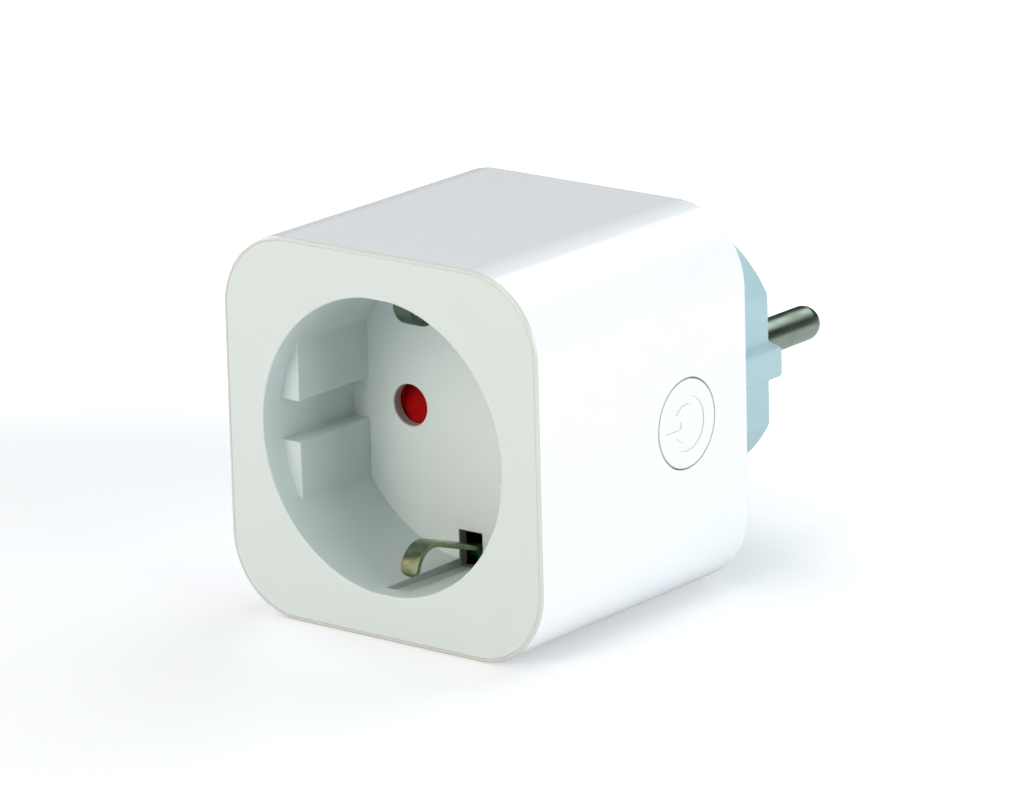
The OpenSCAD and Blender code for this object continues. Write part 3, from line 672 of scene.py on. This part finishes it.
def makeCover():
    c = cover
    shell = Shell()
    edge = c["edgeRound"]
    plateWidth = bodyWidth - 2 * sleeve["lip"] - 2 * c["seam"]
    plateRadius = sleeve["cornerRadius"] - sleeve["lip"] - c["seam"]
    radius = c["wellRadius"]
    frontLoop = wellLoop(c["notchFront"], c["channelFront"])
    backLoop = wellLoop(c["notchBack"], c["channelBack"])
    depth = floorFront

    # the well's wall: rim, plain circle, start of the channels, front faces of the ribs, ribs down to the floor
    rings = [
        atDepth(ontoCircle(backLoop, radius + across), along)
        for across, along in quarterTurn(c["rimRound"], 6)
    ]
    rim = rings[0][:, [0, 2]]
    rings.append(atDepth(ontoCircle(frontLoop, radius), c["channelStart"]))
    channel = np.abs(frontLoop[:, 0]) < c["channelHalf"] + 0.01
    ribs = (np.abs(frontLoop[:, 1]) < 12) & ~channel
    started = np.where(channel[:, None], frontLoop, ontoCircle(frontLoop, radius))
    rings.append(atDepth(started, c["ribStart"]))
    normal = outward(frontLoop) * ribs[:, None]
    for across, along in quarterTurn(c["ribRound"], 5):
        grown = frontLoop + normal * across
        size = np.linalg.norm(grown, axis=1)
        over = ribs & (size > radius)
        grown[over] *= radius / size[over, None]
        rings.append(atDepth(grown, c["ribStart"] + along))
    rings.append(atDepth(backLoop, depth))
    shell.rings(rings)

    # front face, outer edge and the back of the plate
    shell.flat([squareLoop(plateWidth - 2 * edge, plateRadius - edge), rim], 1, 0)
    edges = [
        atDepth(squareLoop(plateWidth - 2 * across, plateRadius - across), along)
        for across, along in quarterTurn(edge, 3)
    ]
    edges.append(atDepth(squareLoop(plateWidth, plateRadius), sleeve["plate"]))
    shell.rings(edges)
    bump = [(c["bumpHalf"], math.sqrt(c["tubeRadius"] ** 2 - c["bumpHalf"] ** 2)), (c["bumpHalf"], c["bumpTop"])]
    arc = np.linspace(0, math.acos(c["bumpHalf"] / c["tubeRadius"]), 40)[:-1]
    quarter = np.concatenate([c["tubeRadius"] * np.stack([np.cos(arc), np.sin(arc)], 1), bump])
    tube = withoutRepeats(allRound(quarter))
    posts = [(sx * c["postPlace"], sz * c["postPlace"]) for sx in (-1, 1) for sz in (-1, 1)]
    postLoops = [circleLoop(c["postRadius"], post, 32) for post in posts]
    plateBack = squareLoop(plateWidth, plateRadius)
    shell.flat([plateBack, tube, *postLoops], 1, sleeve["plate"])
    shell.rings([atDepth(tube, sleeve["plate"]), atDepth(tube, floorBack)])
    for post in posts:
        bore = c["screwRadius"]
        profile = [
            (c["postRadius"], sleeve["plate"]), (c["postRadius"], c["postEnd"]), (bore, c["postEnd"]),
            (bore, c["screwDeep"]), (0, c["screwDeep"] - c["drillPoint"]),
        ]
        shell.spin(profile, post, 32)

    # floor with the holes for the pins and the slots for the earth clips
    half, inner = c["channelHalf"], c["slotInner"]
    floor = backLoop.copy()
    deep = np.abs(floor[:, 1]) > c["channelBack"] - 0.01
    floor[deep, 1] = np.sign(floor[deep, 1]) * inner
    corner = math.sqrt(radius ** 2 - half ** 2)
    slot = np.array([
        (half, inner), (half, corner), (half, c["channelBack"]),
        (-half, c["channelBack"]), (-half, corner), (-half, inner),
    ])
    slots = [slot, slot[::-1] * (1, -1)]
    holes = [(s * pinX, 0) for s in (-1, 1)]
    wide = c["holeRadius"] + c["holeRound"]
    shell.flat([floor] + [circleLoop(wide, hole) for hole in holes], 1, depth)
    shell.flat([tube] + [circleLoop(c["holeRadius"], hole) for hole in holes] + slots, 1, floorBack)
    for hole in holes:
        edge = [(c["holeRadius"] + across, depth + along) for across, along in quarterTurn(c["holeRound"], 4)]
        shell.spin(edge + [(c["holeRadius"], floorBack)], hole)
    for loop in slots:
        shell.rings([atDepth(loop, depth), atDepth(loop, floorBack)])

    # two bosses behind the floor for the screws of the contact carrier
    start, end, bore = c["bossFrom"], c["bossTo"], c["bossBore"]
    for s in (-1, 1):
        profile = [
            (0, start), (c["bossRadius"], start), (c["bossRadius"], end), (bore, end), (bore, start + 0.2),
            (0, start + 0.1),
        ]
        shell.spin(profile, (s * c["bossPlace"][0], s * c["bossPlace"][1]), 32)
    return shell.build("frontCover", "housing", "front_plastic", ["front_cover"])


base = {
    "plugRadius": 18.5,
    "flat": 16.25,
    "flatBlend": 1.5,
    "ridgeEdge": 18.42,
    "ridgeTop": 1.95,
    "ridgeFoot": 2.54,
    "ridgeRounds": (0.1, 0.5, 0.3, 0.1),
    "grooveHalf": 3.1,
    "grooveBottom": 17.3,
    "slotTop": 18.1,
    "grooveEnd": 59.5,
    "faceRound": 0.45,
    "cavityRadius": 15.6,
    "cavityFlat": 14.4,
    "cavityBlend": 0.6,
    "cavityEnd": 59.0,
    "pinHole": 2.6,
    "earthHole": 10.0,
    "holeRound": 0.2,
    "wellRadius": 2.0,
    "wellRound": 0.15,
    "wellDeep": 36.0,
    "postEnd": 30.0,
    "railDeep": 1.3,
    "railThick": 0.7,
    "sideRails": (13.8, 15.9),
    "sideRailPlace": 11.5,
    "flatRails": (18.5, 20.6),
    "flatRailPlace": 10.0,
}


def plugLoops():
    # the plug's outline with the grooves for the earth strips, and without them
    b = base
    edge = roundedLoop([(b["ridgeEdge"], -1), (b["ridgeEdge"], b["ridgeTop"]), (b["flat"], b["ridgeFoot"]),
                        (b["flat"], 6)], b["ridgeRounds"], 5)[6:18]
    circle = cutCircle(b["plugRadius"], b["flat"], b["flatBlend"], b["grooveHalf"], 30)
    groove = np.array([(b["grooveHalf"], b["slotTop"]), (b["grooveHalf"], b["grooveBottom"])])
    across = np.array([0.94, 0.4]) * b["grooveHalf"]
    level = np.stack([across, np.sqrt(b["plugRadius"] ** 2 - across ** 2)], 1)
    return allRound([*edge, *circle, *groove]), allRound([*edge, *circle, *level])


def makeBase():
    b = base
    shell = Shell()
    grooved, whole = plugLoops()
    edge = cover["edgeRound"]
    width = bodyWidth - 2 * sleeve["lip"] - 2 * cover["seam"]
    corner = sleeve["cornerRadius"] - sleeve["lip"] - cover["seam"]

    # plug body: grooved sides, the closed end of the grooves, then the rounded edge of the face
    rings = [atDepth(grooved, bodyDepth), atDepth(grooved, b["grooveEnd"]), atDepth(whole, b["grooveEnd"])]
    normal = outward(whole)
    holes = [((s * pinX, 0), b["pinHole"]) for s in (-1, 1)] + [((0, b["earthHole"]), b["pinHole"])]
    rings += [
        atDepth(whole - normal * inset, plugFace - b["faceRound"] + along)
        for inset, along in roundOver(b["faceRound"])
    ]
    shell.rings(rings)
    face = rings[-1][:, [0, 2]]
    wide = [circleLoop(r + b["holeRound"], place) for place, r in holes]
    shell.flat([face, *wide], 1, plugFace)
    for place, r in holes:
        mouth = [(r + across, plugFace - along) for across, along in quarterTurn(b["holeRound"], 4)]
        shell.spin(mouth + [(r, b["cavityEnd"])], place)

    # hollow inside, open to the case
    inner = allRound(cutCircle(b["cavityRadius"], b["cavityFlat"], b["cavityBlend"], 0.4, 24))
    shell.rings([atDepth(inner, b["cavityEnd"]), atDepth(inner, plateInside)])
    shell.flat([inner] + [circleLoop(r, place) for place, r in holes], 1, b["cavityEnd"])

    # rear plate: rear face, edge, inner face, slots for the strips and wells for the screws
    posts = [(sx * cover["postPlace"], sz * cover["postPlace"]) for sx in (-1, 1) for sz in (-1, 1)]
    bottoms = np.abs(np.abs(grooved[:, 1]) - b["grooveBottom"]) < 0.001
    foot = grooved[~bottoms]
    well = b["wellRadius"]
    wells = [circleLoop(well + b["wellRound"], post, 32) for post in posts]
    shell.flat([squareLoop(width - 2 * edge, corner - edge), foot, *wells], 1, bodyDepth)
    edges = [
        atDepth(squareLoop(width - 2 * across, corner - across), bodyDepth - along)
        for across, along in quarterTurn(edge, 3)
    ]
    edges.append(atDepth(squareLoop(width, corner), plateInside))
    shell.rings(edges)
    slot = rectangleLoop((-b["grooveHalf"], b["grooveHalf"]), (b["grooveBottom"], b["slotTop"]))
    slots = [slot, slot[::-1] * (1, -1)]
    for loop in slots:
        shell.rings([atDepth(loop, bodyDepth), atDepth(loop, plateInside)])
    outer = [circleLoop(cover["postRadius"], post, 32) for post in posts]
    shell.flat([squareLoop(width, corner), inner, *slots, *outer], 1, plateInside)
    for post in posts:
        mouth = [(well + across, bodyDepth - along) for across, along in quarterTurn(b["wellRound"], 3)]
        bore = cover["screwRadius"] + 0.1
        profile = mouth + [
            (well, b["wellDeep"]), (bore, b["wellDeep"]), (bore, b["postEnd"]),
            (cover["postRadius"], b["postEnd"]), (cover["postRadius"], plateInside),
        ]
        shell.spin(profile, post, 32)

    # low rails that hold the edges of the four printed boards
    deep, thick = (plateInside - b["railDeep"], plateInside - 0.01), b["railThick"]
    for sx in (-1, 1):
        for sz in (-1, 1):
            for start in b["sideRails"]:
                shell.block((sx * (start + thick / 2) - thick / 2, sx * (start + thick / 2) + thick / 2), deep,
                            (sz * b["sideRailPlace"] - 1.5, sz * b["sideRailPlace"] + 1.5))
            for start in b["flatRails"]:
                shell.block((sx * b["flatRailPlace"] - 1.5, sx * b["flatRailPlace"] + 1.5), deep,
                            (sz * (start + thick / 2) - thick / 2, sz * (start + thick / 2) + thick / 2))
    return shell.build("plugBase", "housing", "plug_plastic", ["plug_base"])


makeCamera()
makeSleeve()
makeCover()
makeBase()
print("casing ready")


button = {
    "radius": 5.9,
    "edgeRound": 0.2,
    "flangeRadius": 7.0,
    "flangeThick": 0.8,
    "capDeep": 2.0,
    "stemRadius": 2.2,
    "arcInner": 2.6,
    "arcOuter": 3.6,
    "arcGap": 35.0,
    "barHalf": 0.5,
    "barFrom": 1.2,
    "barTo": 4.5,
    "sunk": 0.14,
    "sunkEdge": 0.07,
}


def symbolLoops(grow):
    # the open ring and the bar of a power symbol, drawn towards the front, grown all round by `grow`
    b = button
    gap = math.radians(b["arcGap"])
    trim = grow / b["arcOuter"]
    a = np.linspace(np.pi + gap - trim, 3 * np.pi - gap + trim, 60)
    ring = np.stack([np.cos(a), np.sin(a)], 1)
    loop = np.concatenate([ring * (b["arcOuter"] + grow), ring[::-1] * (b["arcInner"] - grow)])
    bar = roundedLoop([
        (-b["barTo"] - grow, -b["barHalf"] - grow), (-b["barFrom"] + grow, -b["barHalf"] - grow),
        (-b["barFrom"] + grow, b["barHalf"] + grow), (-b["barTo"] - grow, b["barHalf"] + grow),
    ], 0.2 + grow, 4)
    return [loop + (buttonY, 0), bar + (buttonY, 0)]


def makeButton():
    # a round cap with a flange and a stem behind it, and the symbol sunk into its face
    b = button
    top = halfWidth
    shell = Shell()
    rim = [(b["radius"] - inset, top - b["edgeRound"] + along) for inset, along in roundOver(b["edgeRound"], 4)]
    back = top - b["capDeep"]
    profile = [
        (0, buttonReach), (b["stemRadius"], buttonReach), (b["stemRadius"], back - b["flangeThick"]),
        (b["flangeRadius"], back - b["flangeThick"]), (b["flangeRadius"], back), (b["radius"], back), *rim,
    ]
    shell.spin(profile, (buttonY, 0), 96, axis=0)
    mouth = symbolLoops(b["sunkEdge"])
    shell.flat([circleLoop(b["radius"] - b["edgeRound"], (buttonY, 0), 96), *mouth], 0, top)
    for wide, narrow in zip(mouth, symbolLoops(0.0)):
        shell.rings([np.insert(wide, 0, top, axis=1), np.insert(narrow, 0, top - b["sunk"], axis=1)])
        shell.flat([narrow], 0, top - b["sunk"])
    return shell.build("powerButton", "button", "button_plastic", ["power_button"])


pin = {
    "radius": 2.4,
    "shoulder": 2.6,
    "shoulderGap": 0.02,
    "flangeRadius": 3.4,
    "flange": (57.5, 59.0),
    "tailRadius": 1.6,
    "tailChamfer": 0.15,
    "tailStart": 52.0,
}


def makePin(name, node, x):
    # tail, flange, shoulder and a round-ended pin, spun round the pin's own line
    p = pin
    tip = pinEnd - p["radius"]
    a = np.linspace(0, np.pi / 2, 17)
    dome = np.stack([p["radius"] * np.cos(a), tip + p["radius"] * np.sin(a)], 1)
    chamfer, neck = p["tailChamfer"], p["shoulder"] - p["shoulderGap"]
    profile = np.concatenate([[
        (0, p["tailStart"]), (p["tailRadius"] - chamfer, p["tailStart"]),
        (p["tailRadius"], p["tailStart"] + chamfer), (p["tailRadius"], p["flange"][0]),
        (p["flangeRadius"], p["flange"][0]), (p["flangeRadius"], p["flange"][1]),
        (neck, p["flange"][1]), (neck, plugFace), (p["radius"], plugFace),
    ], dome])
    shell = Shell()
    shell.spin(profile, (x, 0), 96)
    return shell.build(name, "housing", "nickel", [node])


def makeStrip(shell, path, widths, thickness, edge=0.1, steps=3):
    # a flat strip: the cross-section (width, thickness) with rounded edges, carried along a path in Y and Z
    path = np.asarray(path, float)
    along = np.gradient(path, axis=0)
    along /= np.linalg.norm(along, axis=1, keepdims=True)
    across = np.stack([-along[:, 1], along[:, 0]], 1)
    half = np.asarray(widths, float)[:, None] / 2
    a = np.arange(4 * (steps + 1)) // (steps + 1) * (np.pi / 2)
    a = a + np.tile(np.linspace(-np.pi / 2, 0, steps + 1), 4)
    offset = np.stack([np.cos(a), np.sin(a)], 1) * edge
    signs = np.repeat([(1, -1), (1, 1), (-1, 1), (-1, -1)], steps + 1, axis=0)
    x = signs[:, 0] * np.maximum(half - edge, 0.001) + offset[:, 0]
    t = signs[:, 1] * (thickness / 2 - edge) + offset[:, 1]
    points = np.stack([
        x,
        path[:, :1] + across[:, :1] * t,
        path[:, 1:] + across[:, 1:] * t,
    ], -1)
    # the ends are closed by drawing the last section in to its own middle
    ends = [np.broadcast_to(points[k].mean(0), (1, *points.shape[1:])) for k in (0, -1)]
    shell.rings(np.concatenate([ends[0], points, ends[1]]))


clip = {
    "bend": (8.4, 17.95),
    "bendRadius": 3.6,
    "slope": 18.0,
    "endAngle": -184.0,
    "thickness": 0.7,
    "width": 2.8,
    "edgeRound": 0.12,
    "rootDepth": 20.6,
    "tabRound": 1.0,
}


def makeClip(name, node, body, side):
    # a straight stretch and a bend, narrowing to a rounded tab at the free end
    c = clip
    radius = c["bendRadius"] - c["thickness"] / 2
    start = math.radians(c["slope"] - 90)
    a = np.linspace(start, math.radians(c["endAngle"]), 40)
    bend = np.array(c["bend"]) + radius * np.stack([np.cos(a), np.sin(a)], 1)
    run = np.linspace(c["rootDepth"], bend[0, 0], 24)[:-1]
    foot = np.stack([run, bend[0, 1] + (run - bend[0, 0]) * math.tan(math.radians(c["slope"]))], 1)
    path = np.concatenate([foot, bend])
    length = np.concatenate([[0], np.cumsum(np.linalg.norm(np.diff(path, axis=0), axis=1))])
    free = np.clip(length[-1] - length, 0, c["tabRound"])
    narrow = c["tabRound"] - np.sqrt(c["tabRound"] ** 2 - (c["tabRound"] - free) ** 2)
    widths = c["width"] - 2 * np.minimum(narrow, c["tabRound"] * 0.95)
    shell = Shell()
    makeStrip(shell, path * (1, side), widths, c["thickness"], c["edgeRound"])
    return shell.build(name, body, "clip_bronze", [node], 40)


strip = {
    "width": 6.0,
    "thickness": 0.7,
    "middle": 17.65,
    "start": 37.9,
    "end": 58.1,
    "hook": 16.5,
    "bend": 0.6,
    "edgeRound": 0.15,
}


def makeEarthStrip(name, node, side):
    # a strip that lies in its groove and turns in at the end
    s = strip
    turn = s["bend"]
    run = np.linspace(s["start"], s["end"] - turn, 20)
    straight = np.stack([run, np.full(20, s["middle"])], 1)
    a = np.linspace(0, np.pi / 2, 9)[1:]
    bend = np.stack([run[-1] + turn * np.sin(a), s["middle"] - turn * (1 - np.cos(a))], 1)
    hook = np.array([(s["end"], s["hook"])])
    path = np.concatenate([straight, bend, hook])
    shell = Shell()
    makeStrip(shell, path * (1, side), np.full(len(path), s["width"]), s["thickness"], s["edgeRound"])
    return shell.build(name, "housing", "clip_bronze", [node], 40)


spring = {
    "coilRadius": 1.1,
    "wireRadius": 0.25,
    "turns": 7.5,
    "depth": 20.6,
    "bottom": -1.6,
    "top": 8.6,
    "travel": 6.4,
}


def makeSpring():
    # a round wire carried along a helix (R cos t, R sin t, z(t)) whose end turns lie flat
    s = spring
    t = np.linspace(0, 1, int(s["turns"] * 24))
    turn = t * s["turns"] * 2 * np.pi
    rise = np.clip((t * s["turns"] - 0.8) / (s["turns"] - 1.6), 0, 1)
    rise = rise * rise * (3 - 2 * rise) * 0.3 + rise * 0.7
    low, high = s["bottom"] + s["wireRadius"], s["top"] - s["wireRadius"]
    height = low + (high - low) * rise
    line = np.stack([s["coilRadius"] * np.cos(turn), s["depth"] + s["coilRadius"] * np.sin(turn), height], 1)
    tangent = np.gradient(line, axis=0)
    tangent /= np.linalg.norm(tangent, axis=1, keepdims=True)
    outwardLine = np.stack([np.cos(turn), np.sin(turn), np.zeros_like(turn)], 1)
    side = np.cross(tangent, outwardLine)
    a = np.linspace(0, 2 * np.pi, 10, endpoint=False)
    ring = outwardLine[:, None] * np.cos(a)[None, :, None] + side[:, None] * np.sin(a)[None, :, None]
    points = line[:, None] + ring * s["wireRadius"]
    ends = [np.broadcast_to(line[k], (1, 10, 3)) for k in (0, -1)]
    shell = Shell()
    shell.rings(np.concatenate([ends[0], points, ends[1]]))
    piece = shell.build("shutterSpring", "housing", "steel", ["shutter_spring"], 60)
    for modifier in list(piece.modifiers):
        piece.modifiers.remove(modifier)
    anchor = inPlace([0, s["depth"], s["bottom"]])
    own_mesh(piece)
    return piece


makeButton()
makePin("plugPinRight", "plug_pin_right", pinX)
makePin("plugPinLeft", "plug_pin_left", -pinX)
makeClip("earthClipTop", "earth_clip_top", "clip_top", 1)
makeClip("earthClipBottom", "earth_clip_bottom", "clip_bottom", -1)
makeEarthStrip("earthStripTop", "plug_earth_strip_top", 1)
makeEarthStrip("earthStripBottom", "plug_earth_strip_bottom", -1)
makeSpring()
print("fittings ready")


lamps = {
    # place, size across and up, power, colour
    "sideLow": ((0.95, -0.05, 0.22), (0.6, 0.4), 6.1, (0.950, 0.985, 1.0)),
    "rearHigh": ((0.10, 0.60, 0.80), (0.8, 0.6), 3.4, (0.940, 0.985, 1.0)),
    "above": ((0.05, -0.05, 1.0), (0.8, 0.8), 2.8, (0.920, 0.980, 1.0)),
    "left": ((-0.90, 0.0, 0.50), (0.6, 0.6), 6.2, (0.90, 0.95, 1.0)),
    "front": ((-0.12, -1.0, 0.22), (0.6, 0.5), 2.8, (1.0, 0.88, 0.81)),
    "frontHigh": ((-0.05, -0.85, 0.60), (0.6, 0.5), 3.4, (0.94, 0.88, 0.85)),
    "frontLeft": ((-0.60, -0.85, 0.30), (0.6, 0.5), 2.3, (1.0, 0.76, 0.65)),
}

room = {
    "low": (0.86, 0.98, 1.0),
    "high": (0.10, 0.12, 0.13),
    "bandFrom": 0.05,
    "bandTo": 0.30,
    "strength": 0.08,
    "floorColour": (0.72, 0.73, 0.74),
    # the floor's glow: lowest near a centre under the object, a painted shadow round it, rising between a start
    # and an end distance; glowShare is the part of the glow that also lights the scene
    "glowCentre": (-0.05, -0.05, 0),
    "paintedShadowGlow": 0.24,
    "glowFar": 0.85,
    "glowStart": 0.06,
    "glowEnd": 0.18,
    "glowShare": 0.2,
}


def makeLights():
    for name, (place, size, power, colour) in lamps.items():
        data = bpy.data.lights.new(name, "AREA")
        data.shape = "RECTANGLE"
        data.size, data.size_y = size
        data.energy = power
        data.color = colour
        lamp = bpy.data.objects.new(name, data)
        lamp.location = place
        aim = Vector((0, -0.01, axisHeight)) - Vector(place)
        lamp.rotation_euler = aim.to_track_quat("-Z", "Y").to_euler()
        scene.collection.objects.link(lamp)
    world = bpy.data.worlds.new("room")
    scene.world = world
    world.use_nodes = True
    tree = world.node_tree
    sky = tree.nodes["Background"]
    start = Shade(tree, None)
    way = start.node("ShaderNodeTexCoord", output=0)
    split = start.node("ShaderNodeSeparateXYZ", inputs={"Vector": way})
    up = Shade(tree, split.socket.node.outputs[2])
    lit = up.soften(room["bandFrom"], room["bandTo"]).blend(room["low"], room["high"])
    seen = start.node("ShaderNodeLightPath", output=0)
    colour = seen.blend(lit, (1 / room["strength"],) * 3)
    tree.links.new(colour.socket, sky.inputs["Color"])
    sky.inputs["Strength"].default_value = room["strength"]
    scene.view_settings.view_transform = "Standard"


def makeFloor():
    mesh = bpy.data.meshes.new("floor")
    mesh.from_pydata([(-3, -3, 0), (3, -3, 0), (3, 3, 0), (-3, 3, 0)], [], [(0, 1, 2, 3)])
    floor = bpy.data.objects.new("floor", mesh)
    scene.collection.objects.link(floor)
    finish = Finish("paleFloor", room["floorColour"], 0.5)
    # painted shadow: the floor glows less near the object; camera rays see the whole glow, other rays a share of
    # it
    distance = {"operation": "DISTANCE"}
    away = finish.node("ShaderNodeVectorMath", distance, {0: finish.place, 1: room["glowCentre"]}, 1)
    glow = away.soften(room["glowStart"], room["glowEnd"])
    near, far = [(room[key],) * 3 for key in ("paintedShadowGlow", "glowFar")]
    finish.set("Emission Color", glow.blend(near, far))
    seen = finish.node("ShaderNodeLightPath", output=0)
    finish.set("Emission Strength", seen * (1 - room["glowShare"]) + room["glowShare"])
    mesh.materials.append(finish.material)


makeLights()
makeFloor()
print("light and floor ready")
